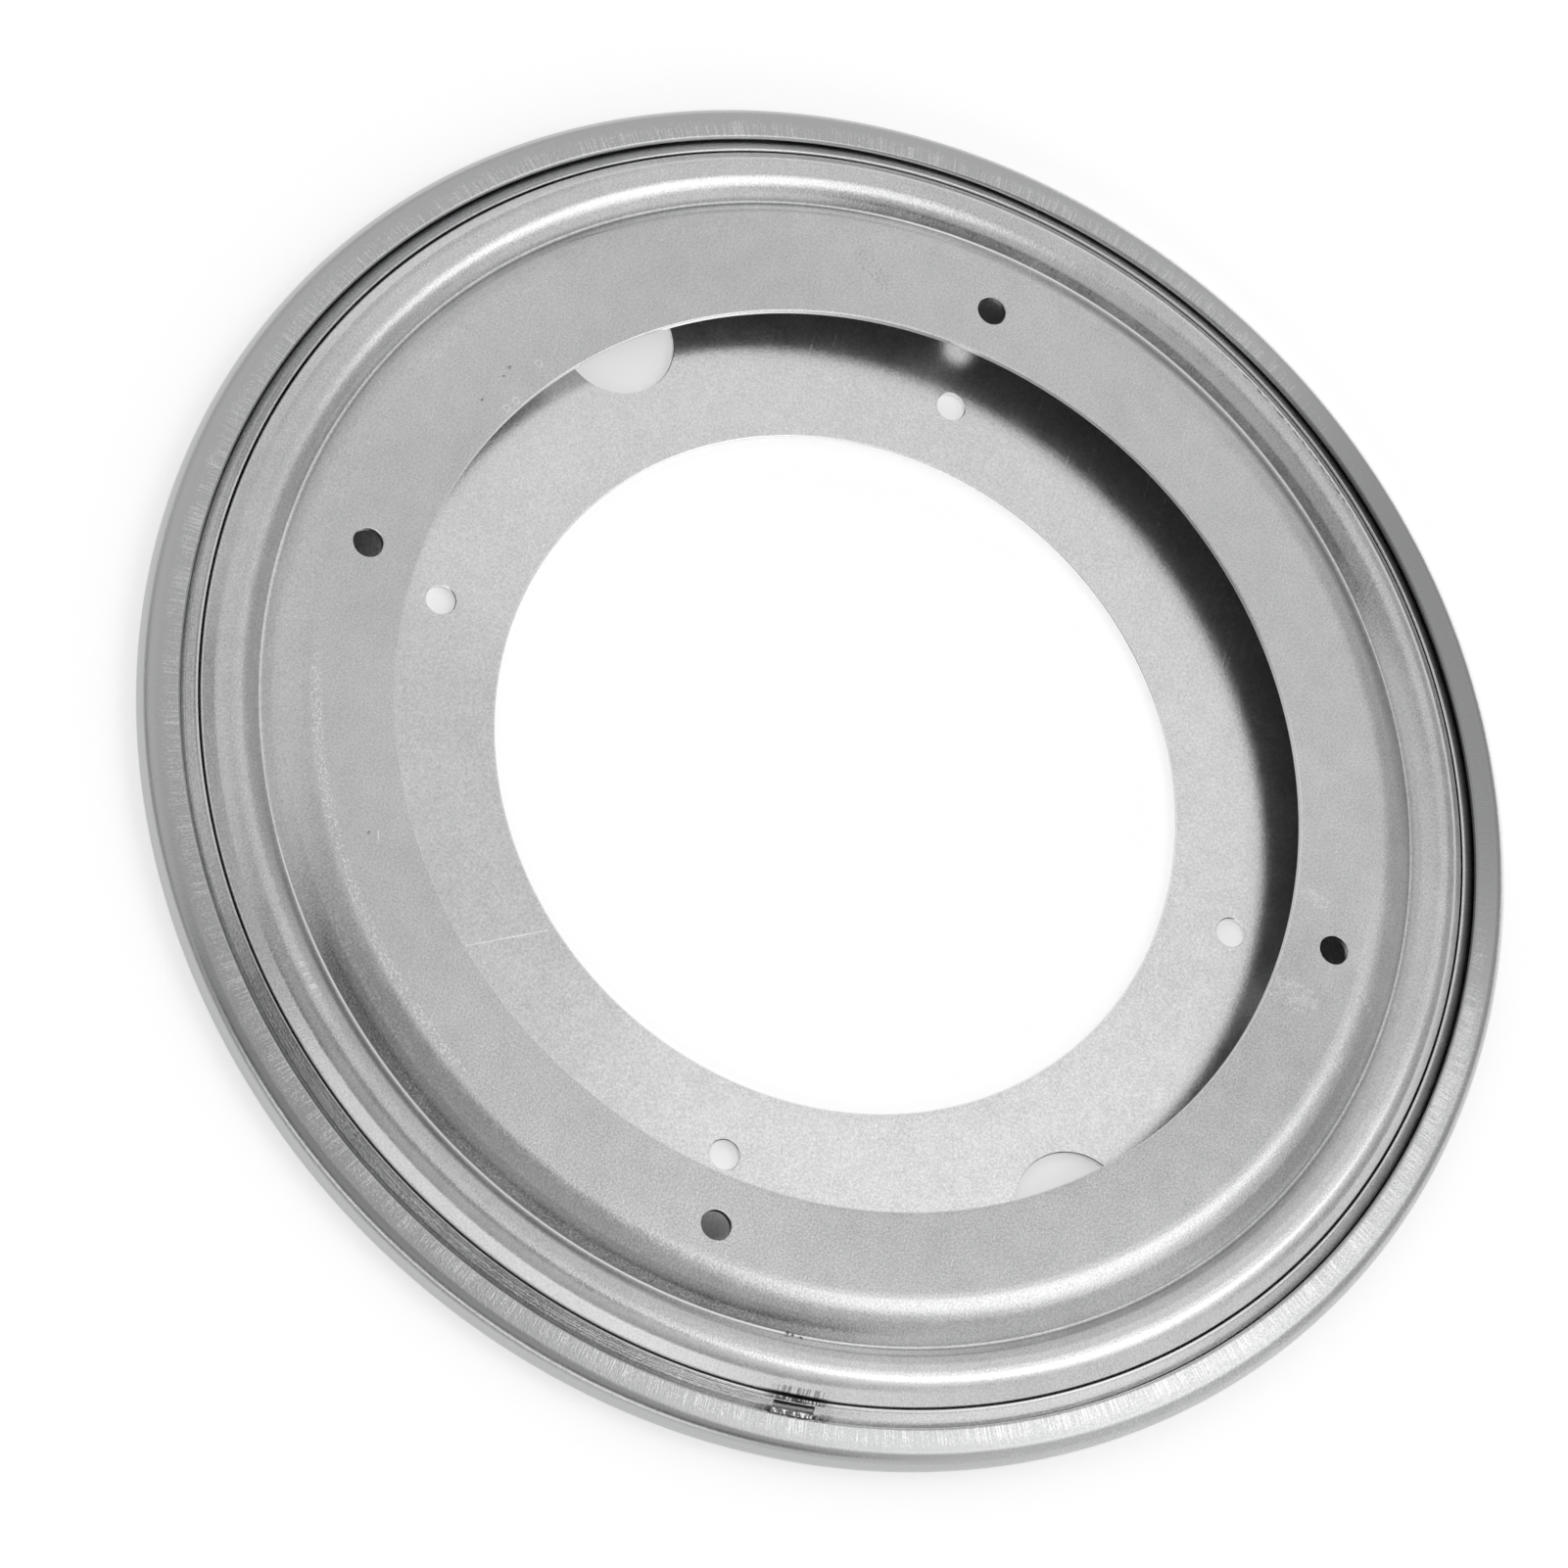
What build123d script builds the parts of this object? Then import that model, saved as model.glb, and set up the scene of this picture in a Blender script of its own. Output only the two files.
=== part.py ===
"""Round lazy susan bearing: two stamped steel plates that turn on a ring of balls.

The base plate lies on the surface at Z = 0, and everything turns about +Z.
Plate sections are drawn on the XZ plane, from the bore outwards, and revolved.
"""

import os
from math import radians, tan

from build123d import *

# Driving dimensions, in millimetres and degrees.
outer_diameter = 228.6
sheet = 1.2
edge_break = 0.2

# Balls and the track that they run in.
ball_diameter = 6.35
ball_count = 24
race_clearance = 0.15
race_depth = 0.25
race_radius_excess = 0.3
ball_wall_clearance = 0.375

# Cage that spaces the balls.
cage_thickness = 1.0
pocket_clearance = 0.2
cage_web = 3.0
cage_wall_gap = 0.6

# Rolled rim of the base plate, and the annular slot that the turning plate shows in.
lip_width = 6.1
slot_width = 2.8
rim_straight = 0.5
flange_gap = 1.0
flange_end_gap = 2.0
lip_clearance = 0.7

# Dust ring that closes the slot.
ring_thickness = 0.5
ring_gap = 0.2
ring_rise = 0.5
ring_angle = 38
ring_foot_gap = 0.6
window_length = 6.6
window_height = 1.3
window_margin = 0.35
window_angle = 191

# Bead and mounting flat of the turning plate, with the inside radius of each bend.
bead_half_width = 4.5
crown_half_width = 1.7
bead_flank_angle = 42
slope_angle = 38
flat_bend = 6.8
crease_bend = 0.3
crown_bend = 1.1
shoulder_bend = 0.1
foot_bend = 0.5
flat_rise = 0.7
mounting_width = 16.54

# Screw holes, and the holes that let a driver through to the upper screws.
screw_hole = 4.8
screw_count = 4
turning_screw_inset = 8.3
base_ledge_width = 18.35
base_screw_inset = 11.9
access_hole = 19.0
access_count = 2
access_inset = 5.0
access_angle = 45


# Heights, from the floor of the base plate up through the balls.
ball_radius = ball_diameter / 2
ball_height = sheet - race_depth + race_clearance + ball_radius
crown_height = ball_height + ball_radius + race_clearance + sheet
overall_height = crown_height + flat_rise
flange_height = sheet + flange_gap + sheet
rim_height = flange_height + ring_thickness + lip_clearance + sheet
ring_height = rim_height + ring_rise

# Radii, from the rim inwards.
half_sheet = sheet / 2
outer_radius = outer_diameter / 2
lip_radius = outer_radius - lip_width
wall_radius = lip_radius - slot_width
race_radius = wall_radius - sheet - ball_wall_clearance - ball_radius
crease_circle_radius = race_radius - bead_half_width
flange_radius = outer_radius - sheet - flange_end_gap

# Corners of the turning plate's middle line. The bead's flat crown ends where its flanks begin.
crown_line = crown_height - half_sheet
flank_slope = tan(radians(bead_flank_angle))
outer_half_width = wall_radius - half_sheet - race_radius
crease_height = crown_line - (bead_half_width - crown_half_width) * flank_slope
shoulder_height = crown_line - (outer_half_width - crown_half_width) * flank_slope
slope_run = (overall_height - half_sheet - crease_height) / tan(radians(slope_angle))
flat_radius = crease_circle_radius - slope_run

turning_bore_radius = flat_radius - mounting_width
turning_screw_radius = turning_bore_radius + turning_screw_inset
base_bore_radius = turning_bore_radius - base_ledge_width
base_screw_radius = base_bore_radius + base_screw_inset
access_radius = turning_screw_radius - access_inset

# Base plate: a flat ring whose edge is rolled up and inwards into a lip.
with BuildPart() as base_plate:
    with BuildSketch(Plane.XZ):
        with BuildLine():
            FilletPolyline(
                (base_bore_radius - sheet, half_sheet),
                (outer_radius - half_sheet, half_sheet),
                (outer_radius - half_sheet, rim_height - half_sheet),
                (lip_radius + half_sheet, rim_height - half_sheet),
                radius=(rim_height - sheet - rim_straight) / 2,
            )
            offset(amount=half_sheet)
        make_face()
        with Locations((race_radius, sheet - race_depth + ball_radius + race_radius_excess)):
            Circle(ball_radius + race_radius_excess, mode=Mode.SUBTRACT)
    revolve(axis=Axis.Z)
    Hole(base_bore_radius)
    fillet(edges(Select.LAST).filter_by(GeomType.CIRCLE), edge_break)
    with PolarLocations(base_screw_radius, screw_count):
        Hole(screw_hole / 2)
    with PolarLocations(access_radius, access_count, start_angle=access_angle):
        Hole(access_hole / 2)

# Turning plate: mounting flat, slope, crease, bead over the balls, wall and hidden flange.
with BuildPart() as turning_plate:
    with BuildSketch(Plane.XZ):
        with BuildLine():
            FilletPolyline(
                (turning_bore_radius - sheet, overall_height - half_sheet),
                (flat_radius, overall_height - half_sheet),
                (crease_circle_radius, crease_height),
                (race_radius - crown_half_width, crown_line),
                (race_radius + crown_half_width, crown_line),
                (wall_radius - half_sheet, shoulder_height),
                (wall_radius - half_sheet, flange_height - half_sheet),
                (flange_radius - half_sheet, flange_height - half_sheet),
                radius=(
                    flat_bend + half_sheet,
                    crease_bend + half_sheet,
                    crown_bend + half_sheet,
                    crown_bend + half_sheet,
                    shoulder_bend + half_sheet,
                    foot_bend + half_sheet,
                ),
            )
            offset(amount=half_sheet)
        make_face()
    revolve(axis=Axis.Z)
    Hole(turning_bore_radius)
    fillet(edges(Select.LAST).filter_by(GeomType.CIRCLE), edge_break)
    with PolarLocations(turning_screw_radius, screw_count):
        Hole(screw_hole / 2)

# Dust ring: a coned strip that stands on the flange, with a window near its upper edge.
half_strip = ring_thickness / 2
ring_edge_radius = wall_radius + ring_gap + half_strip
ring_foot_height = flange_height + half_strip
ring_run = (ring_height - half_strip - ring_foot_height) / tan(radians(ring_angle))
with BuildPart() as dust_ring:
    with BuildSketch(Plane.XZ):
        with BuildLine():
            FilletPolyline(
                (ring_edge_radius, ring_height - half_strip),
                (ring_edge_radius + ring_run, ring_foot_height),
                (flange_radius - ring_foot_gap - half_strip, ring_foot_height),
                radius=ring_thickness,
            )
            offset(amount=half_strip)
        make_face()
    revolve(axis=Axis.Z)
    with BuildSketch(Plane.YZ.rotated((0, window_angle, 0))):
        with Locations((0, ring_height - window_margin)):
            Rectangle(window_length, window_height, align=(Align.CENTER, Align.MAX))
    extrude(amount=outer_radius, mode=Mode.SUBTRACT)

# Ball cage: a flat comb whose pockets open towards the bead's wall.
pocket_radius = ball_radius + pocket_clearance
cage_outer_radius = wall_radius - sheet - cage_wall_gap
cage_inner_radius = race_radius - pocket_radius - cage_web
with BuildPart() as ball_cage:
    with BuildSketch(Plane.XY.offset(ball_height - cage_thickness / 2)):
        Circle(cage_outer_radius)
        Circle(cage_inner_radius, mode=Mode.SUBTRACT)
        with PolarLocations(race_radius, ball_count):
            Circle(pocket_radius, mode=Mode.SUBTRACT)
    extrude(amount=cage_thickness)

base_plate.part.label = "base_plate"
turning_plate.part.label = "turning_plate"
dust_ring.part.label = "dust_ring"
ball_cage.part.label = "ball_cage"

os.makedirs("parts", exist_ok=True)
for piece in (base_plate, turning_plate, dust_ring, ball_cage):
    export_step(piece.part, f"parts/{piece.part.label}.step")

# Balls: one in each pocket of the cage.
for number, place in enumerate(PolarLocations(race_radius, ball_count), start=1):
    seat = Plane(origin=place.position + Vector(0, 0, ball_height))
    with BuildPart(seat) as ball:
        Sphere(ball_radius)
    ball.part.label = f"ball_{number:02d}"
    export_step(ball.part, f"parts/{ball.part.label}.step")

print("overall height", round(overall_height, 3), "rim height", round(rim_height, 3))
print("bores", round(2 * base_bore_radius, 2), round(2 * turning_bore_radius, 2))
print("screw circles", round(2 * base_screw_radius, 2), round(2 * turning_screw_radius, 2))
print("access circle", round(2 * access_radius, 2), "race circle", round(2 * race_radius, 2))
print("crease height", round(crease_height, 3), "shoulder height", round(shoulder_height, 3))
print("crease circle", round(2 * crease_circle_radius, 2), "wall circle", round(2 * wall_radius, 2))
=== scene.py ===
# %% [markdown]
# # Lazy susan bearing
# Two stamped steel plates turn on a ring of balls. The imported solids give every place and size;
# this script dresses them with finely spun sheet metal, a zinc finish, a camera and a small photo
# studio.

# %% Load the frame
import math
from collections import namedtuple

import bmesh
import bpy
from mathutils import Matrix, Vector


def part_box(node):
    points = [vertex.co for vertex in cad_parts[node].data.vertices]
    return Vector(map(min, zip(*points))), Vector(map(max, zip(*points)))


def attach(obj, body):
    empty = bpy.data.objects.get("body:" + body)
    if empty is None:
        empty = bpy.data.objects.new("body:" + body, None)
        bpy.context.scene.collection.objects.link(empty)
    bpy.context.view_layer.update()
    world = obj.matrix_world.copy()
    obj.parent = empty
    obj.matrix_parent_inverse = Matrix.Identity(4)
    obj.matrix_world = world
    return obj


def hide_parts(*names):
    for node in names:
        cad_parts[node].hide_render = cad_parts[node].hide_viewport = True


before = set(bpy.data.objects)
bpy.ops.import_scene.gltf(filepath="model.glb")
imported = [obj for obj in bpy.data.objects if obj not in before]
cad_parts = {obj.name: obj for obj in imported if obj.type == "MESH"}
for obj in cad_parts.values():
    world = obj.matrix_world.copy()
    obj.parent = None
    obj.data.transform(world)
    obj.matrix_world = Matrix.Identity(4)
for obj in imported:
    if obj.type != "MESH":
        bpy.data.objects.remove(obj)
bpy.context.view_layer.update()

# %% [markdown]
# The sizes that the solids' boxes can show are read from the frame. The bends and bores inside
# those boxes are repeated here as real sizes, in metres, because a box doesn't hold them.

# %% Sizes
MM = 0.001
outer_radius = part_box("base_plate")[1].x
rim_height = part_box("base_plate")[1].z
overall_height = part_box("turning_plate")[1].z
flange_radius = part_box("turning_plate")[1].x
flange_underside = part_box("turning_plate")[0].z
ring_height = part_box("dust_ring")[1].z
ring_foot_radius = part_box("dust_ring")[1].x
sheet = 1.2 * MM
half_sheet = sheet / 2
strip = 0.5 * MM
half_strip = strip / 2
base_bore_radius = 57.14 * MM
turning_bore_radius = 75.49 * MM
lip_radius = 108.2 * MM
wall_radius = 105.4 * MM
race_radius = 100.65 * MM
crown_half_width = 1.7 * MM
crown_height = 8.8 * MM
shoulder_height = 5.994 * MM
crease_radius = 96.15 * MM
crease_height = 5.679 * MM
flat_end_radius = 92.027 * MM
print("outer radius", round(outer_radius / MM, 2), "mm, overall height",
      round(overall_height / MM, 2), "mm")

# %% [markdown]
# Pressed sheet has the same thickness everywhere, so each plate is drawn as the line down the
# middle of its section. A vertex bevel rounds every corner of that line into a bend, a full spin
# sweeps it round the axis, and Solidify gives the swept skin the gauge of the sheet. Drawing both
# faces by hand would need twice the points and would let the thickness wander. A few points lie on
# the straight runs, close to a rim or a bend, so that the flats between them shade truly flat.

# %% Sheet metal from a middle line
spin_steps = 480
bend_segments = 10
weld_distance = 1e-7


def bend_reach(bend_radius, before, corner, after):
    """How far a bend of this radius reaches along the two straight legs of its corner."""
    turn = (corner - before).angle(after - corner)
    return bend_radius * math.tan(turn / 2)


def keep_modifiers(piece):
    """Makes the modifiers' result the piece's own mesh."""
    bpy.context.view_layer.update()
    seen = piece.evaluated_get(bpy.context.evaluated_depsgraph_get())
    finished = bpy.data.meshes.new_from_object(seen)
    piece.modifiers.clear()
    piece.data = finished


def spun_sheet(name, corners, bends, thickness):
    """A skin spun from middle-line points (radius, height); bends gives the bent corners' radii."""
    bm = bmesh.new()
    points = [Vector((radius, 0, height)) for radius, height in corners]
    line = [bm.verts.new(point) for point in points]
    for start, end in zip(line, line[1:]):
        bm.edges.new((start, end))
    for index, bend_radius in bends.items():
        reach = bend_reach(bend_radius, *points[index - 1:index + 2])
        bmesh.ops.bevel(bm, geom=[line[index]], offset=reach, offset_type="OFFSET",
                        affect="VERTICES", segments=bend_segments, profile=0.5, material=-1)
    bmesh.ops.spin(bm, geom=bm.verts[:] + bm.edges[:], cent=(0, 0, 0), axis=(0, 0, 1),
                   angle=math.tau, steps=spin_steps, use_merge=True)
    bmesh.ops.remove_doubles(bm, verts=bm.verts[:], dist=weld_distance)
    bmesh.ops.recalc_face_normals(bm, faces=bm.faces[:])
    skin = bpy.data.meshes.new(name)
    bm.to_mesh(skin)
    bm.free()
    piece = bpy.data.objects.new(name, skin)
    bpy.context.scene.collection.objects.link(piece)
    gauge = piece.modifiers.new("gauge", "SOLIDIFY")
    gauge.thickness = thickness
    gauge.offset = 0
    gauge.use_even_offset = True
    keep_modifiers(piece)
    print(name, "faces", len(piece.data.polygons))
    return piece


# %% [markdown]
# The base plate is the wide lower ring. Its edge is rolled up and back inwards, so that the lip
# holds the turning plate down. On the section that is only two bends of one radius. The lip springs
# up a little at its free edge, so it falls by 0.3 mm towards the rim.

# %% Base plate
rim_margin = 0.8 * MM
race_margin = 6 * MM
rim_straight = 0.5 * MM
lip_fall = 0.3 * MM
rim_bend = (rim_height - sheet - rim_straight) / 2
base_plate = spun_sheet(
    "base_plate_sheet",
    [
        (base_bore_radius, half_sheet),
        (base_bore_radius + rim_margin, half_sheet),
        (race_radius - race_margin, half_sheet),
        (outer_radius - half_sheet, half_sheet),
        (outer_radius - half_sheet, rim_height - half_sheet - lip_fall),
        (lip_radius, rim_height - half_sheet),
    ],
    {3: rim_bend, 4: rim_bend},
    sheet,
)

# %% [markdown]
# The turning plate carries the tray. From its bore outwards it has a mounting flat, a slope down to
# a sharp crease, the bead that runs over the balls, a short wall, and a flange under the lip of the
# base. The radius of each bend decides how wide its highlight is, so every bend has its own.

# %% Turning plate
flat_margin = 4.5 * MM
flat_bend = 8.7 * MM
crease_bend = 1.1 * MM
inner_crown_bend = 4.2 * MM
outer_crown_bend = 3.2 * MM
shoulder_bend = 0.8 * MM
foot_bend = 1.1 * MM
turning_plate = spun_sheet(
    "turning_plate_sheet",
    [
        (turning_bore_radius, overall_height - half_sheet),
        (turning_bore_radius + rim_margin, overall_height - half_sheet),
        (flat_end_radius - flat_margin, overall_height - half_sheet),
        (flat_end_radius, overall_height - half_sheet),
        (crease_radius, crease_height),
        (race_radius - crown_half_width, crown_height - half_sheet),
        (race_radius + crown_half_width, crown_height - half_sheet),
        (wall_radius - half_sheet, shoulder_height),
        (wall_radius - half_sheet, flange_underside + half_sheet),
        (flange_radius, flange_underside + half_sheet),
    ],
    {3: flat_bend, 4: crease_bend, 5: inner_crown_bend, 6: outer_crown_bend,
     7: shoulder_bend, 8: foot_bend},
    sheet,
)

# %% [markdown]
# The dust ring is a thin coned strip that stands on the turning plate's hidden flange and closes
# the slot beside the bead. It is the same kind of spun skin, only of thinner stock.

# %% Dust ring
ring_slope = math.radians(38)
ring_gap = 0.2 * MM
ring_edge_radius = wall_radius + ring_gap + half_strip
flange_top = flange_underside + sheet
ring_foot_height = flange_top + half_strip
ring_run = (ring_height - half_strip - ring_foot_height) / math.tan(ring_slope)
dust_ring = spun_sheet(
    "dust_ring_strip",
    [
        (ring_edge_radius - half_strip * math.cos(ring_slope),
         ring_height - half_strip + half_strip * math.sin(ring_slope)),
        (ring_edge_radius + ring_run, ring_foot_height),
        (ring_foot_radius, ring_foot_height),
    ],
    {1: strip},
    strip,
)

# %% [markdown]
# A sheared edge is never razor sharp: the bores are only broken, while the lip and the strip were
# tumbled until their edges are nearly half round. Solidify leaves square rims, and an edge bevel
# rounds each one by its own amount. The rims are found as the edges where two faces meet at a steep
# angle.

# %% Rounded rims
steep = math.radians(60)
broken_edge = 0.2 * MM
tumbled_edge = 0.55 * MM
strip_edge = 0.22 * MM
rim_segments = 4


def round_rims(piece, rounding):
    """Rounds the square rims of a spun sheet: rounding(radius) says by how much."""
    bm = bmesh.new()
    bm.from_mesh(piece.data)
    rims = {}
    for edge in bm.edges:
        if len(edge.link_faces) == 2 and edge.calc_face_angle() > steep:
            radius = edge.verts[0].co.xy.length
            rims.setdefault(rounding(radius), []).append(edge)
    for offset, edges in rims.items():
        bmesh.ops.bevel(bm, geom=edges, offset=offset, offset_type="OFFSET", affect="EDGES",
                        segments=rim_segments, profile=0.5, material=-1)
    bm.to_mesh(piece.data)
    bm.free()
    counts = {round(offset / MM, 2): len(edges) for offset, edges in rims.items()}
    print(piece.name, "rims", counts)


for plate in (base_plate, turning_plate):
    round_rims(plate, lambda radius: tumbled_edge if radius > race_radius else broken_edge)
round_rims(dust_ring, lambda radius: strip_edge)

# %% [markdown]
# Four screw holes go through each plate, and two large holes in the base let a driver reach the
# upper screws. Each punch is a spun plug that flares a little at both faces, so that one exact
# Boolean cuts the hole and breaks its edges together.

# %% Punched holes
screw_hole_radius = 2.4 * MM
screw_count = 4
screw_steps = 64
base_screw_circle = 69.04 * MM
turning_screw_circle = 83.79 * MM
access_radius = 9.5 * MM
access_count = 2
access_steps = 128
access_circle = 78.79 * MM
access_angle = 45
rim_break = 0.12 * MM
punch_reach = 2 * MM


def add_punch(bm, radius, place, low, high, steps):
    """Adds a plug that goes through the sheet from low to high and flares at both faces."""
    section = [
        (0, low - punch_reach),
        (radius + rim_break + punch_reach, low - punch_reach),
        (radius, low + rim_break),
        (radius, high - rim_break),
        (radius + rim_break + punch_reach, high + punch_reach),
        (0, high + punch_reach),
    ]
    verts = [bm.verts.new((x, 0, z)) for x, z in section]
    edges = [bm.edges.new(pair) for pair in zip(verts, verts[1:])]
    bmesh.ops.spin(bm, geom=verts + edges, cent=(0, 0, 0), axis=(0, 0, 1),
                   angle=math.tau, steps=steps, use_merge=True)
    bmesh.ops.translate(bm, verts=[vert for vert in bm.verts if not vert.tag], vec=place)
    for vert in bm.verts:
        vert.tag = True


def cut(piece, tool):
    """Takes the tool's shape away from the piece."""
    bmesh.ops.remove_doubles(tool, verts=tool.verts[:], dist=weld_distance)
    bmesh.ops.recalc_face_normals(tool, faces=tool.faces[:])
    mesh = bpy.data.meshes.new("tool")
    tool.to_mesh(mesh)
    tool.free()
    cutter = bpy.data.objects.new("tool", mesh)
    bpy.context.scene.collection.objects.link(cutter)
    punch = piece.modifiers.new("punch", "BOOLEAN")
    punch.object = cutter
    punch.operation = "DIFFERENCE"
    punch.solver = "EXACT"
    keep_modifiers(piece)
    bpy.data.objects.remove(cutter)
    bpy.data.meshes.remove(mesh)
    print(piece.name, "faces", len(piece.data.polygons))


def around(circle_radius, count, start_angle=0):
    """Evenly spaced places on a circle about the axis."""
    for step in range(count):
        angle = math.radians(start_angle) + step * math.tau / count
        yield Vector((circle_radius * math.cos(angle), circle_radius * math.sin(angle), 0))


punches = bmesh.new()
for place in around(base_screw_circle, screw_count):
    add_punch(punches, screw_hole_radius, place, 0, sheet, screw_steps)
for place in around(access_circle, access_count, access_angle):
    add_punch(punches, access_radius, place, 0, sheet, access_steps)
cut(base_plate, punches)
punches = bmesh.new()
flat_underside = overall_height - sheet
for place in around(turning_screw_circle, screw_count):
    add_punch(punches, screw_hole_radius, place, flat_underside, overall_height, screw_steps)
cut(turning_plate, punches)

# %% [markdown]
# The balls run in a shallow race that is pressed into the base. A circle spun round the axis makes
# a torus, and cutting it away leaves the groove, a little wider than the balls.

# %% Ball race
race_groove_radius = 3.475 * MM
race_depth = 0.25 * MM
race_tool = bmesh.new()
bmesh.ops.create_circle(race_tool, cap_ends=False, segments=64, radius=race_groove_radius)
bmesh.ops.rotate(race_tool, verts=race_tool.verts[:], cent=(0, 0, 0),
                 matrix=Matrix.Rotation(math.pi / 2, 3, "X"))
bmesh.ops.translate(race_tool, verts=race_tool.verts[:],
                    vec=(race_radius, 0, sheet - race_depth + race_groove_radius))
bmesh.ops.spin(race_tool, geom=race_tool.verts[:] + race_tool.edges[:], cent=(0, 0, 0),
               axis=(0, 0, 1), angle=math.tau, steps=spin_steps, use_merge=True)
cut(base_plate, race_tool)

# %% [markdown]
# One small window in the dust ring, just under its upper edge, shows the dark track behind it. A
# stretched cube is tool enough for a straight-sided slot.

# %% Window in the dust ring
window_angle = 191
window_length = 6.6 * MM
window_height = 1.3 * MM
window_margin = 0.35 * MM
window_depth = 8 * MM
window_offset = 3.4 * MM
window_middle = ring_height - window_margin - window_height / 2
window_tool = bmesh.new()
bmesh.ops.create_cube(window_tool, size=1)
bmesh.ops.scale(window_tool, verts=window_tool.verts[:],
                vec=(window_depth, window_length, window_height))
bmesh.ops.translate(window_tool, verts=window_tool.verts[:],
                    vec=(ring_edge_radius + window_offset, 0, window_middle))
bmesh.ops.rotate(window_tool, verts=window_tool.verts[:], cent=(0, 0, 0),
                 matrix=Matrix.Rotation(math.radians(window_angle), 3, "Z"))
cut(dust_ring, window_tool)

# %% [markdown]
# Bends should look smooth and cut edges crisp. Smooth shading with a sharp-edge angle does that,
# and the Weighted Normal modifier keeps the wide flats from picking up a false gradient from their
# rounded rims.

# %% Smooth bends and crisp edges
crisp = math.radians(35)
for piece in (base_plate, turning_plate, dust_ring):
    piece.data.shade_smooth()
    piece.data.set_sharp_from_angle(angle=crisp)
    weighted = piece.modifiers.new("weighted", "WEIGHTED_NORMAL")
    weighted.keep_sharp = True
    weighted.weight = 80
    keep_modifiers(piece)
    print(piece.name, "triangles", sum(len(face.vertices) - 2 for face in piece.data.polygons))

# %% [markdown]
# Each sheet takes the place of its solid and moves with that solid's body: the base stays still,
# and the plate and its dust ring turn together. The balls and their cage are already right as
# solids.

# %% Seat the pieces on their bodies
for piece, node, body, slot in (
    (base_plate, "base_plate", "base", "base_steel"),
    (turning_plate, "turning_plate", "turning", "turning_steel"),
    (dust_ring, "dust_ring", "turning", "ring_steel"),
):
    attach(piece, body)
    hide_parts(node)
    print(piece.name, "rides on", body)

# %% [markdown]
# Materials here are small graphs of nodes. Writing each node in four lines would hide the idea, so
# one helper adds a node, sets or links its inputs and hands back the output that is wanted. A
# socket knows the tree that it is in, so only a node that nothing is linked into has to be told its
# tree. A few more helpers say common things in a maker's words: a fade, a band, a sector of the
# ring.

# %% Helpers for finishes
typical_radius = 100 * MM
RingPlaces = namedtuple("RingPlaces", "place plan radius heading")


def wire(kind, inputs, result=0, tree=None, **options):
    """Adds a node, sets or links its inputs by name or number, and gives back one output."""
    linked = [key for key, value in inputs.items() if isinstance(value, bpy.types.NodeSocket)]
    if tree is None:
        tree = inputs[linked[0]].id_data
    node = tree.nodes.new("ShaderNode" + kind)
    for option, value in options.items():
        setattr(node, option, value)
    for key, value in inputs.items():
        if key in linked:
            tree.links.new(value, node.inputs[key])
        else:
            node.inputs[key].default_value = value
    return node.outputs[result]


def sums(operation, *values):
    """One sum of the Math node."""
    return wire("Math", dict(enumerate(values)), operation=operation)


def both(first, second):
    """A mask that is 1 only where two masks are."""
    return sums("MULTIPLY", first, second)


def vectors(operation, *values, result=0):
    """One sum of the Vector Math node."""
    return wire("VectorMath", dict(enumerate(values)), result, operation=operation)


def fade(value, start, end):
    """Goes smoothly from 0 at start to 1 at end; start may be the larger."""
    return wire("MapRange", {"Value": value, "From Min": start, "From Max": end},
                interpolation_type="SMOOTHSTEP")


def band(value, low, high, soft):
    """1 between low and high, fading to 0 outside."""
    return both(fade(value, low - soft, low + soft), fade(value, high + soft, high - soft))


def blend(share, first, second):
    """Mixes two colours: inputs 6 and 7 of the Mix node are colours, and so is its output 2."""
    return wire("Mix", {"Factor": share, 6: first, 7: second}, 2, data_type="RGBA")


def speckle(vector, size, detail=2, harshness=0.5):
    """Noise whose patches are about this size across."""
    settings = {"Vector": vector, "Scale": 1 / size, "Detail": detail, "Roughness": harshness}
    return wire("TexNoise", settings, "Fac")


def ring_places(tree):
    """Where a point of a ring is: in space, on the plan, its radius and its heading."""
    place = wire("TexCoord", {}, "Object", tree)
    plan = vectors("MULTIPLY", place, (1, 1, 0))
    radius = vectors("LENGTH", plan, result="Value")
    return RingPlaces(place, plan, radius, vectors("NORMALIZE", plan))


def drawn_noise(at, along, across, detail=2):
    """Noise whose patches are so many millimetres long round the ring and so wide across it."""
    repeats = typical_radius / (along * MM)
    round_it = wire("VectorMath", {0: at.heading, "Scale": repeats}, operation="SCALE")
    outwards = wire("CombineXYZ", {"Z": sums("DIVIDE", at.radius, across * MM)})
    vector = vectors("ADD", round_it, outwards)
    return wire("TexNoise", {"Vector": vector, "Scale": 1, "Detail": detail}, "Fac")


def sector(heading, middle, half, soft):
    """1 within so many degrees of an angle round the axis, fading to 0 outside."""
    angle = math.radians(middle)
    direction = (math.cos(angle), math.sin(angle), 0)
    facing = vectors("DOT_PRODUCT", heading, direction, result="Value")
    return fade(facing, math.cos(math.radians(half + soft)), math.cos(math.radians(half - soft)))


# %% [markdown]
# A used sheet carries marks: scratches, pits, rubbed arcs. Each is a mask over the plan of the
# plate, with its radii and widths in millimetres and its angles in degrees round the axis, and one
# helper adds it to the layers of a finish. Drawing them as masks keeps them where they are on the
# real plate. Grease is another kind of mark: it covers the metal, so it darkens both of the
# finish's colours. The same near black is also laid as painted shade in a few places.

# %% Helpers for marks
grease_and_shade = (0.02, 0.019, 0.018, 1)
line_blur = 0.06 * MM
end_blur = 0.5 * MM


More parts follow.
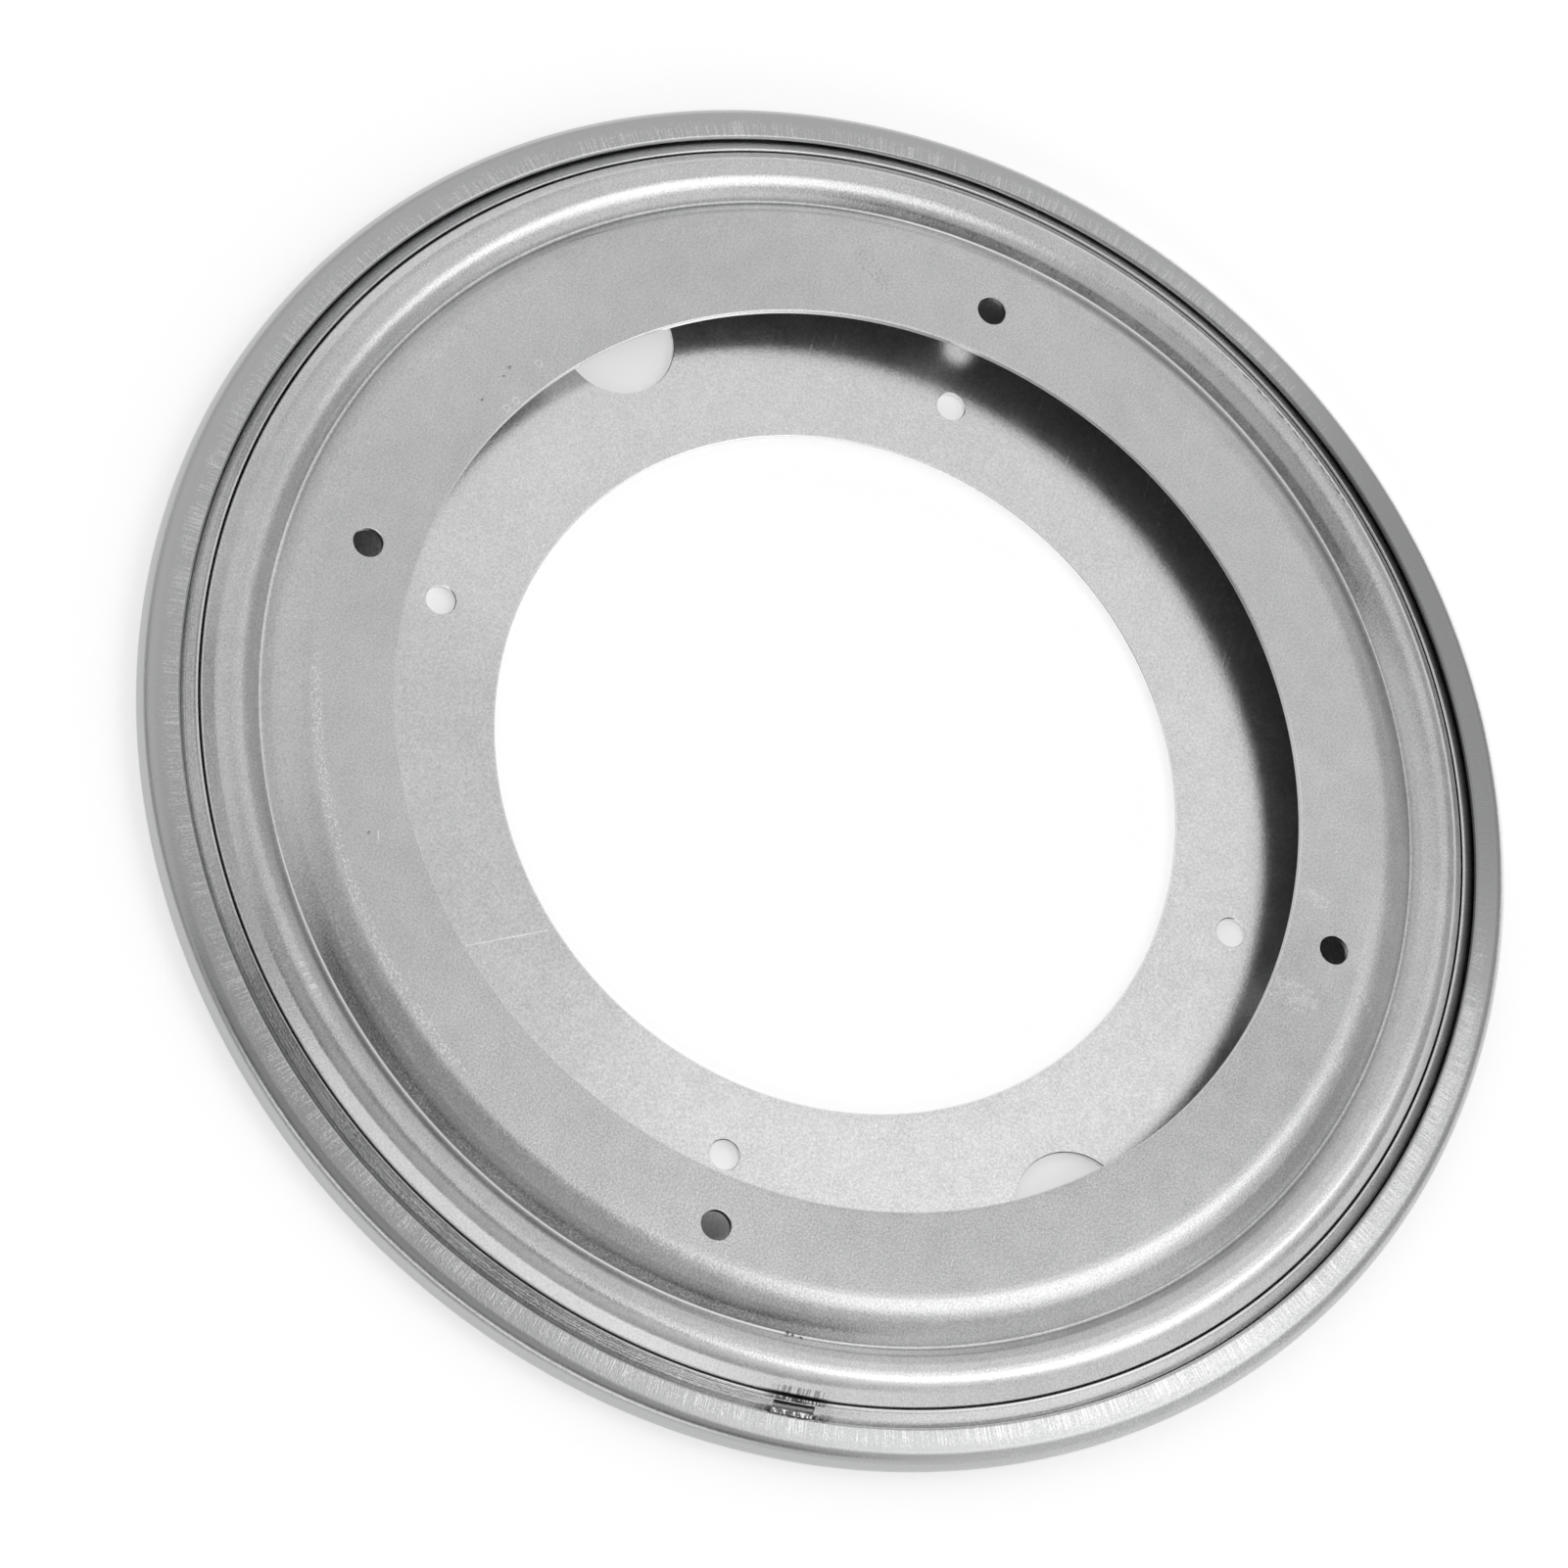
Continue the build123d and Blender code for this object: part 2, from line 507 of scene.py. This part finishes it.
def plan_point(radius, angle):
    """A point of the plan."""
    return Vector((math.cos(math.radians(angle)), math.sin(math.radians(angle)), 0)) * radius * MM


def radial_fade(at, start, end):
    """Goes from 0 at one radius to 1 at another; start may be the larger."""
    return fade(at.radius, start * MM, end * MM)


def hoop(at, low, high, blur):
    """1 between two radii."""
    return band(at.radius, low * MM, high * MM, blur * MM)


def arc(at, low, high, middle, half, blur=0.12, soft=3):
    """1 on a piece of a hoop, so many degrees to both sides of an angle."""
    return both(hoop(at, low, high, blur), sector(at.heading, middle, half, min(half, soft)))


def scratch(at, start, end, width):
    """1 along a straight scratch between two points (radius, angle)."""
    start, end = plan_point(*start), plan_point(*end)
    along = (end - start).normalized()
    from_start = vectors("SUBTRACT", at.plan, start)
    run = vectors("DOT_PRODUCT", from_start, along, result="Value")
    aside = vectors("DOT_PRODUCT", from_start, Vector((-along.y, along.x, 0)), result="Value")
    half_width = width * MM / 2
    line = fade(sums("ABSOLUTE", aside), half_width + line_blur, half_width - line_blur)
    return both(line, band(run, 0, (end - start).length, end_blur))


def pit(at, centre, size):
    """1 inside a round pit at a point (radius, angle), of this size across."""
    away = vectors("DISTANCE", at.plan, plan_point(*centre), result="Value")
    return fade(away, size * 0.65 * MM, size * 0.35 * MM)


def broken(mask, noise, start, end):
    """Breaks a mask up where the noise is low."""
    return both(mask, fade(noise, start, end))


def mark(layers, where, tone=0, rough=0, height=0):
    """Adds a mark to the layers of a finish."""
    for layer, amount in (("tone", tone), ("rough", rough), ("height", height)):
        if amount:
            layers[layer] = sums("MULTIPLY_ADD", where, amount, layers[layer])


def soil_and_shade(layers, where, share):
    """Hides this share of the metal under near black: old grease, and in a few places painted shade.
    """
    covered = sums("MULTIPLY", where, share)
    for colour in ("bright", "dull"):
        layers[colour] = blend(covered, layers[colour], grease_and_shade)


# %% [markdown]
# All the sheet is zinc plated. The plating is grey and half dull, with a fine crystal grain,
# cloudier patches a few millimetres across and slow changes over the whole sheet. Grain is in the
# colour, in the roughness and in a very shallow bump, because on real plating it is tiny facets
# that catch the light. Hair scratches in two directions come from handling. The dull film on the
# zinc scatters a twentieth of the light as a paint would, so the finish is not quite all metal.

# %% Zinc plating
grain_size, patch_size, cloud_size = 0.34 * MM, 4.5 * MM, 26 * MM
grain_tone, patch_tone, cloud_tone = 1.4, 0.24, 0.24
grain_rough, patch_rough = 0.12, 0.10
metal_share = 0.95
scratch_length, scratch_width = 22 * MM, 0.28 * MM


def hair_scratches(at, turn):
    """Sparse fine scratches that run in one direction."""
    turned = wire("Mapping", {"Vector": at.plan, "Rotation": (0, 0, math.radians(turn)),
                              "Scale": (1 / scratch_length, 1 / scratch_width, 1)})
    noise = wire("TexNoise", {"Vector": turned, "Scale": 1, "Detail": 1}, "Fac")
    return fade(noise, 0.70, 0.78)


def zinc_plating(name, dull, bright, roughness):
    """Starts a zinc finish; gives its material, its ring places and its layers for marks."""
    material = bpy.data.materials.new(name)
    material.use_nodes = True
    at = ring_places(material.node_tree)
    grain = speckle(at.place, grain_size, 3, 0.65)
    patches = speckle(at.place, patch_size, 3)
    clouds = speckle(at.place, cloud_size, 2)
    darkest = 0.5 - (grain_tone + patch_tone + cloud_tone) / 2
    tone = sums("MULTIPLY_ADD", grain, grain_tone, darkest)
    tone = sums("MULTIPLY_ADD", patches, patch_tone, tone)
    tone = sums("MULTIPLY_ADD", clouds, cloud_tone, tone)
    smoothest = roughness - (grain_rough + patch_rough) / 2
    rough = sums("MULTIPLY_ADD", grain, grain_rough, smoothest)
    rough = sums("MULTIPLY_ADD", patches, patch_rough, rough)
    layers = {"tone": tone, "rough": rough, "height": grain, "dull": dull, "bright": bright}
    for turn in (24, 97):
        mark(layers, hair_scratches(at, turn), tone=0.16, rough=0.05)
    return material, at, layers


def finish_plating(material, layers, bump):
    """Joins the layers to the shader; the bump is so many millimetres deep."""
    tree = material.node_tree
    shader = tree.nodes["Principled BSDF"]
    shader.inputs["Metallic"].default_value = metal_share
    colour = blend(layers["tone"], layers["dull"], layers["bright"])
    normal = wire("Bump", {"Height": layers["height"], "Distance": bump * MM})
    tree.links.new(colour, shader.inputs["Base Color"])
    tree.links.new(layers["rough"], shader.inputs["Roughness"])
    tree.links.new(normal, shader.inputs["Normal"])
    print(material.name, "nodes", len(tree.nodes))


# %% [markdown]
# The press drew faint lines round the turning plate's slope and bead. The crease carries a painted
# highlight: a thin bright line, brighter still on two sides. Broad stretches of the plate are a
# little lighter or darker: their tones were set beside the photograph, and they are painted light
# and shade, mixed with some wear and dirt.

# %% Tones of the turning plate
turning_zinc, at, layers = zinc_plating(
    "turning_zinc", dull=(0.40, 0.403, 0.407, 1), bright=(0.86, 0.86, 0.86, 1), roughness=0.21)
draw_lines = sums("SUBTRACT", drawn_noise(at, 60, 0.22), 0.5)
mark(layers, both(draw_lines, radial_fade(at, 90, 93)), tone=0.10, height=0.08)
# Painted highlight: the crease's thin bright line, brighter still on two sides; its added roughness
# is the finish's own.
crease_highlight = hoop(at, 95.98, 96.30, 0.08)
mark(layers, crease_highlight, tone=0.35, rough=0.12)
for middle, half in ((156, 26), (349, 20)):
    mark(layers, both(crease_highlight, sector(at.heading, middle, half, 12)), tone=0.65)
stretch_blur, stretch_soft = 0.3, 14
# Painted light and shade: each stretch below is made lighter or darker to stand in for how the light
# falls there. The bead's near flank is painted lighter; its added roughness is the finish's own.
rough_flank_with_painted_light = (102.0, 105.6, 168, 28)
# Each row: the inner and outer radius, the middle and half of its angle, and the change of tone.
light_and_shade_stretches = (
    (92.6, 96.4, 228, 26, -0.30),
    (95.8, 96.6, 262, 40, -0.35),
    (96.4, 99.4, 344, 20, 0.40),
    (93.0, 95.9, 158, 32, -0.28),
    (93.0, 95.9, 326, 30, -0.30),
    (*rough_flank_with_painted_light, 0.30),
    (99.2, 102.6, 222, 36, 0.35),
    (98.8, 102.6, 40, 26, 0.15),
    (95.6, 96.8, 45, 36, -0.40),
    (75.4, 88.5, 228, 42, -0.20),
)
for *where, change in light_and_shade_stretches:
    mark(layers, arc(at, *where, stretch_blur, stretch_soft), tone=change)
mark(layers, arc(at, *rough_flank_with_painted_light, stretch_blur, stretch_soft), rough=0.12)
mark(layers, hoop(at, 75.3, 75.72, 0.06), tone=0.40, rough=-0.04)
print("stretches of the turning plate", len(light_and_shade_stretches))

# %% [markdown]
# This is also the plate that hands and screws touch. An arc near the edge of the flat is rubbed,
# and the bead has a row of dark dashes. Behind the window of the dust ring the wall is painted
# nearly black as shade, and the bead just above the window carries a painted reflection of it. Pits,
# scratches, light smears and a dull blotch lie where the photograph shows them.

# %% Marks on the turning plate
dashes = drawn_noise(at, 1.1, 0.3)
streaks = drawn_noise(at, 0.4, 6)
rubs = drawn_noise(at, 0.55, 0.3, 3)
mark(layers, broken(arc(at, 87.2, 88.9, 127, 23), rubs, 0.52, 0.60), tone=0.5, rough=-0.05)
mark(layers, broken(arc(at, 91.6, 93.0, 138, 7), rubs, 0.52, 0.60), tone=0.4, rough=-0.04)
mark(layers, broken(arc(at, 99.6, 100.8, 135, 1.6), streaks, 0.48, 0.60), tone=0.45)
dash_row = arc(at, 102.45, 103.0, 327.5, 8.5)
mark(layers, broken(dash_row, dashes, 0.46, 0.56), tone=-0.75, rough=0.15)
soil_and_shade(layers, broken(dash_row, dashes, 0.48, 0.58), 0.6)
# Painted shade: the wall seen through the window of the dust ring is laid nearly black.
soil_and_shade(layers, arc(at, 105.1, 106.0, window_angle, 1.8), 0.97)
# Painted reflection: the dark window mirrored in the bead's flank just above it.
soil_and_shade(layers, broken(arc(at, 104.3, 105.2, 191.4, 1.5), streaks, 0.42, 0.58), 0.6)
for centre, size in (
    ((81.5, 62.0), 0.7),
    ((81.0, 63.3), 0.5),
    ((80.6, 67.4), 0.6),
    ((82.9, 123.4), 0.6),
):
    mark(layers, pit(at, centre, size), tone=-0.6, rough=0.12, height=-2)
for centre in ((79.2, 58.8), (76.8, 64.4), (76.9, 66.0)):
    rim_of_pit = sums("SUBTRACT", pit(at, centre, 1.3), pit(at, centre, 0.8))
    mark(layers, rim_of_pit, tone=0.35, height=1)
mark(layers, scratch(at, (81.3, 123.4), (81.7, 124.5), 0.25), tone=0.5)
mark(layers, scratch(at, (94.9, 47.1), (94.45, 42.8), 0.3), tone=-0.5, height=-1)
smudges = speckle(at.place, 0.9 * MM, 4, 0.7)
for start, end, width in (
    ((75.8, 262.6), (84.2, 262.7), 4.5),
    ((76.5, 275.9), (81.3, 274.6), 2.2),
    ((90.9, 266.6), (93.6, 265.0), 1.4),
    ((91.5, 257.5), (90.8, 259.7), 1.2),
    ((96.4, 266.6), (97.0, 268.2), 1.0),
    ((96.7, 255.7), (98.2, 257.3), 0.3),
):
    smear = broken(scratch(at, start, end, width), smudges, 0.42, 0.66)
    mark(layers, smear, tone=0.26, rough=0.05)
for centre in ((96.0, 189.6), (96.1, 190.1), (96.3, 190.9)):
    soil_and_shade(layers, pit(at, centre, 0.5), 0.8)
blotch = scratch(at, (87.4, 16.2), (81.8, 12.3), 3.2)
mark(layers, broken(blotch, speckle(at.place, 0.5 * MM, 3), 0.50, 0.62), tone=-0.28, rough=0.05)
finish_plating(turning_zinc, layers, 0.02)

# %% [markdown]
# The base plate is cleaner and a little brighter, except on its lip. There the roller left short
# radial streaks, and the lip is duller, most of all on one side. The sheared bore is bright, two
# scratches cross the ledge, and grease lies beside the window. The ledge seen under one of the
# turning plate's screw holes is darkened as painted shade. The broad lighter and darker stretches
# of lip, round and ledge were set beside the photograph, as on the turning plate: they are painted
# light and shade.

# %% Finish of the base plate
base_zinc, at, layers = zinc_plating(
    "base_zinc", dull=(0.50, 0.503, 0.507, 1), bright=(0.98, 0.98, 0.98, 1), roughness=0.21)
on_lip = radial_fade(at, 107.9, 108.3)
mark(layers, on_lip, tone=-0.50, rough=0.02)
mark(layers, radial_fade(at, 108.3, 107.9), tone=0.16)
# Painted light: one side of the lip is made lighter.
mark(layers, both(on_lip, sector(at.heading, 242, 28, 14)), tone=0.24)
# Painted shade: the ledge inside the turning plate's bore is darker on one side.
mark(layers, both(radial_fade(at, 80, 76), sector(at.heading, 124, 26, 16)), tone=-0.22)
mark(layers, radial_fade(at, 110.4, 112.6), tone=-0.16)
dull_side = both(both(on_lip, sector(at.heading, 302, 20, 16)), radial_fade(at, 113, 111.6))
mark(layers, dull_side, tone=-0.4, rough=0.05)
soil_and_shade(layers, dull_side, 0.32)
# Painted reflection: the rounded rim is made much lighter on one side.
rim_round_reflection = both(radial_fade(at, 112.2, 113.4), sector(at.heading, 318, 36, 14))
mark(layers, rim_round_reflection, tone=1, rough=-0.05)
streaks = drawn_noise(at, 0.24, 7, 1)
groups = drawn_noise(at, 5, 3)
rolled = both(radial_fade(at, 108.3, 108.8), radial_fade(at, 112, 110))
roller = broken(broken(rolled, streaks, 0.42, 0.70), groups, 0.1, 0.55)
mark(layers, roller, tone=0.34, rough=-0.03, height=0.2)
soil_and_shade(layers, broken(arc(at, 108.1, 108.7, 191.2, 2), streaks, 0.40, 0.52), 0.7)
# Painted shade: the ledge seen through one of the turning plate's screw holes is laid darker.
soil_and_shade(layers, pit(at, (79.6, 180), 9), 0.55)
mark(layers, hoop(at, 56.9, 57.42, 0.06), tone=0.35, rough=-0.05)
mark(layers, scratch(at, (71.8, 137.8), (58.4, 141.1), 0.16), tone=0.16, height=-0.5)
mark(layers, scratch(at, (71.7, 123.3), (58.4, 123.3), 0.16), tone=0.08, height=-0.3)
finish_plating(base_zinc, layers, 0.02)

# %% [markdown]
# The dust ring is thin strip that was drawn through rollers, so its lines run round it. On one side
# its outer part is darkened and mottled as a painted shadow of the lip, and grease and scuffs
# surround the window. Four of its sides are lighter or darker as painted light and shade, again
# set beside the photograph.

# %% Finish of the dust ring
ring_zinc, at, layers = zinc_plating(
    "ring_zinc", dull=(0.36, 0.363, 0.367, 1), bright=(0.86, 0.86, 0.86, 1), roughness=0.22)
draw_lines = sums("SUBTRACT", drawn_noise(at, 45, 0.16), 0.5)
mark(layers, draw_lines, tone=0.7, height=1)
mark(layers, hoop(at, 105.5, 105.95, 0.08), tone=0.35, rough=-0.03)
mark(layers, hoop(at, 106.12, 106.2, 0.05), tone=-0.45)
# Painted shadow: the lip's shadow, mottled, on the outer part of the strip on one side; the added
# roughness is the finish's own.
lip_shadow = both(sector(at.heading, 290, 34, 18), radial_fade(at, 105.8, 106.6))
mark(layers, broken(lip_shadow, speckle(at.place, 3 * MM), 0.2, 0.5), tone=-0.4, rough=0.08)
soil_and_shade(layers, lip_shadow, 0.45)
# Painted light and shade: four sides of the ring are made lighter or darker.
for middle, half, soft, change in (
    (60, 22, 14, -0.45),
    (205, 22, 10, 0.36),
    (150, 22, 12, -0.30),
    (352, 18, 12, 0.35),
):
    mark(layers, sector(at.heading, middle, half, soft), tone=change)
scuffs = drawn_noise(at, 0.5, 1.2)
soil_and_shade(layers, broken(arc(at, 105.4, 106.3, 191.2, 1.7), scuffs, 0.36, 0.50), 0.9)
soil_and_shade(layers, broken(arc(at, 107.2, 108.8, 191.2, 1.9), scuffs, 0.42, 0.54), 0.85)
finish_plating(ring_zinc, layers, 0.02)

# %% [markdown]
# The balls are hard polished steel: a tighter mirror than the plating, dulled only by fine running
# marks. The cage is plain punched strip, darker and rougher, rubbed bright along its inner edge.

# %% Finish of the balls and the cage
ball_polish, at, layers = zinc_plating(
    "ball_polish", dull=(0.46, 0.46, 0.47, 1), bright=(0.72, 0.72, 0.72, 1), roughness=0.12)
mark(layers, sums("SUBTRACT", drawn_noise(at, 5, 0.12), 0.5), tone=0.3, rough=0.12)
finish_plating(ball_polish, layers, 0.004)
cage_steel, at, layers = zinc_plating(
    "cage_steel", dull=(0.22, 0.22, 0.225, 1), bright=(0.55, 0.55, 0.55, 1), roughness=0.34)
mark(layers, sums("SUBTRACT", drawn_noise(at, 30, 0.3), 0.5), tone=0.5, height=1)
mark(layers, radial_fade(at, 94.9, 94.4), tone=0.4, rough=-0.08)
finish_plating(cage_steel, layers, 0.03)

# %% [markdown]
# Now every piece gets its finish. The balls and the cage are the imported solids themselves, so they
# are only coated; the solids under the three sheets take the same finish as the sheets.

# %% Coat the pieces


def coat(piece, finish):
    """Gives a piece one finish all over."""
    piece.data.materials.clear()
    piece.data.materials.append(finish)


coat(base_plate, base_zinc)
coat(turning_plate, turning_zinc)
coat(dust_ring, ring_zinc)
finishes = {"base_plate": base_zinc, "turning_plate": turning_zinc, "dust_ring": ring_zinc,
            "ball_cage": cage_steel}
for name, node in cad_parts.items():
    coat(node, finishes.get(name, ball_polish))
print("coated", len(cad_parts), "solids and 3 sheets")

# %% [markdown]
# The camera stands about 0.95 m away with a long lens and looks down at 29 degrees from the axis,
# with the object leaning to the upper right. The three angles and the offset were fitted to the
# photograph's circles.

# %% Camera
photo_pixels = 1601
focal_pixels = 6117.4
camera_tilt = math.radians(29.198)
lean_direction = math.radians(46.384)
plate_spin = math.radians(23.556)
camera_offset = Vector((9.0774, 2.4855, -945.132)) * MM
normal = Vector((math.sin(camera_tilt) * math.cos(lean_direction),
                 math.sin(camera_tilt) * math.sin(lean_direction), math.cos(camera_tilt)))
away = Vector((math.cos(camera_tilt) * math.cos(lean_direction),
               math.cos(camera_tilt) * math.sin(lean_direction), -math.sin(camera_tilt)))
plate_x = math.cos(plate_spin) * away + math.sin(plate_spin) * normal.cross(away)
plate_y = normal.cross(plate_x)
camera_turn = Matrix((plate_x, plate_y, normal))
eye = -(camera_turn @ camera_offset) + Vector((0, 0, sheet))
camera_data = bpy.data.cameras.new("photo_camera")
camera_data.sensor_width = 36
camera_data.lens = focal_pixels * camera_data.sensor_width / photo_pixels
camera_data.clip_end = 20
camera = bpy.data.objects.new("photo_camera", camera_data)
camera.matrix_world = Matrix.Translation(eye) @ camera_turn.to_4x4()
bpy.context.scene.collection.objects.link(camera)
bpy.context.scene.camera = camera
print("camera at", [round(c / MM) for c in eye], "mm, lens", round(camera_data.lens, 2))

# %% [markdown]
# The object lies on white paper that rises into a low wall all round. The paper has an even glow
# for the eye and for the metal that mirrors it, and its paint still takes light, so that the shadow
# stays on it. Under the plates the glow is lowered as a painted shadow, which the holes in the base
# let one see.

# %% Floor and backdrop
glow = 0.47
shaded_glow = 0.40
shade_margin = 2 * MM
shade_blur = 1 * MM
wall_distance = 3.0
wall_height = 0.25
floor_drop = 0.1 * MM
floor_segments = 96


def white_paper(name):
    """White paint with an even glow for camera rays and reflections, lowered under the plates as
    painted shadow.
    """
    material = bpy.data.materials.new(name)
    material.use_nodes = True
    tree = material.node_tree
    tree.nodes.remove(tree.nodes["Principled BSDF"])
    rays = tree.nodes.new("ShaderNodeLightPath")
    seen = sums("MAXIMUM", rays.outputs["Is Camera Ray"], rays.outputs["Is Glossy Ray"])
    seen = sums("MAXIMUM", seen, rays.outputs["Is Transmission Ray"])
    # Painted shadow: a ring under the plates where the paper's glow is lower.
    covered = band(ring_places(tree).radius, base_bore_radius + shade_margin,
                   outer_radius - shade_margin, shade_blur)
    level = sums("MULTIPLY_ADD", covered, shaded_glow - glow, glow)
    light = wire("Emission", {"Strength": sums("MULTIPLY", seen, level)})
    paint = wire("BsdfDiffuse", {"Color": (0.8, 0.8, 0.8, 1)}, tree=tree)
    surface = wire("AddShader", {0: light, 1: paint})
    tree.links.new(surface, tree.nodes["Material Output"].inputs["Surface"])
    return material


def stage_piece(name, bm, paper):
    """Puts a finished stage mesh in the scene."""
    mesh = bpy.data.meshes.new(name)
    bm.to_mesh(mesh)
    bm.free()
    piece = bpy.data.objects.new(name, mesh)
    bpy.context.scene.collection.objects.link(piece)
    piece.data.materials.append(paper)
    print(name, [round(size, 2) for size in piece.dimensions], "m")
    return piece


def floor_circle(filled):
    """A wide circle just below the plates."""
    bm = bmesh.new()
    bmesh.ops.create_circle(bm, cap_ends=filled, segments=floor_segments, radius=wall_distance,
                            matrix=Matrix.Translation((0, 0, -floor_drop)))
    return bm


paper = white_paper("white_paper")
floor = stage_piece("floor", floor_circle(True), paper)
wall = floor_circle(False)
raised = bmesh.ops.extrude_edge_only(wall, edges=wall.edges[:])["geom"]
bmesh.ops.translate(wall, verts=[part for part in raised if isinstance(part, bmesh.types.BMVert)],
                    vec=(0, 0, wall_height))
backdrop = stage_piece("backdrop", wall, paper)

# %% [markdown]
# The metal shows what stands round it, so the studio shapes it more than any colour does. Two soft
# boxes light the plates: one high on the far right, and a low strip on the near side that whitens
# the bead's flank. Their bearings are counted from the far side as the camera sees it.

# %% Lamps
plate_centre = Vector((0, 0, overall_height / 2))
lamp_distance = 1.5


def towards(bearing, from_vertical):
    """The direction of a bearing at an angle from the vertical."""
    angle = math.radians(bearing) - plate_spin
    lean = math.radians(from_vertical)
    return Vector((math.sin(lean) * math.cos(angle), math.sin(lean) * math.sin(angle),
                   math.cos(lean)))


def soft_box(name, bearing, from_vertical, width, length, watts):
    """A soft box aimed at the plates."""
    data = bpy.data.lights.new(name, "AREA")
    data.shape = "RECTANGLE"
    data.size = width
    data.size_y = length
    data.energy = watts
    lamp = bpy.data.objects.new(name, data)
    lamp.location = plate_centre + towards(bearing, from_vertical) * lamp_distance
    lamp.rotation_mode = "QUATERNION"
    lamp.rotation_quaternion = towards(bearing, from_vertical).to_track_quat("Z", "Y")
    bpy.context.scene.collection.objects.link(lamp)
    print(name, "at", [round(c, 2) for c in lamp.location], "m,", watts, "W")


soft_box("key_box", bearing=305, from_vertical=27, width=0.74, length=0.74, watts=1.65)
soft_box("front_strip", bearing=189, from_vertical=63.5, width=1.9, length=0.32, watts=2.0)

# %% [markdown]
# The rest of the studio is a pale tent, and the metal mirrors its panels. A dark opening overhead,
# where the photographer stands, gives the slope and the bead their dark sides; it is a wedge
# between two planes through the plates. Duller cloth hangs on the left, on the far right and low in
# front, and a brighter panel on the right.

# %% Light tent
tent_level = 0.75
world = bpy.data.worlds.new("light_tent")
world.use_nodes = True
tree = world.node_tree
look = wire("TexCoord", {}, "Generated", tree)
look_heading = vectors("NORMALIZE", vectors("MULTIPLY", look, (1, 1, 0)))
from_vertical = sums("DEGREES", sums("ARCCOSINE", wire("SeparateXYZ", {0: look}, "Z")))


def side_of(plane):
    """How far a direction lies on the inner side of a plane through the plates."""
    return vectors("DOT_PRODUCT", look, plane, result="Value")


def panel(bearing, half, low, high, soft):
    """1 on a panel to both sides of a bearing, between two angles from the vertical."""
    wide = sector(look_heading, bearing - math.degrees(plate_spin), half, soft)
    return both(wide, band(from_vertical, low, high, soft / 2))


def hang(level, where, cloth):
    """Hangs a cloth of another brightness in the tent."""
    return wire("Mix", {"Factor": where, "A": level, "B": cloth}, "Result")


left_plane = towards(5, 25).cross(towards(137, 53.6)).normalized()
right_plane = towards(242, 57.9).cross(towards(333, 16.4)).normalized()
opening = both(fade(side_of(left_plane), -0.03, 0.05), fade(side_of(right_plane), -0.08, 0.08))
opening = both(opening, fade(from_vertical, 59, 56))
gloom = wire("MapRange", {"Value": side_of(left_plane), "From Min": 0, "From Max": 0.6,
                          "To Min": 0.27, "To Max": 0.48})
gloom = hang(gloom, fade(from_vertical, 36, 50), 0.03)
level = tent_level
# Each row: the bearing, half its width, two angles from the vertical, softness and brightness.
for *where, cloth in (
    (262, 28, 40, 95, 14, 0.88),
    (85, 45, 58, 95, 14, 0.65),
    (325, 26, 52, 95, 12, 0.46),
    (150, 50, 66, 84, 8, 0.40),
):
    level = hang(level, panel(*where), cloth)
level = hang(level, opening, gloom)
tree.nodes["Background"].inputs["Color"].default_value = (1, 1, 1, 1)
tree.links.new(level, tree.nodes["Background"].inputs["Strength"])
bpy.context.scene.world = world
bpy.context.scene.view_settings.view_transform = "Standard"
print("opening from", [round(c, 3) for c in left_plane], "to", [round(c, 3) for c in right_plane])

# %% [markdown]
# Last, the scene is brought up to date.

# %% Finish
bpy.context.view_layer.update()
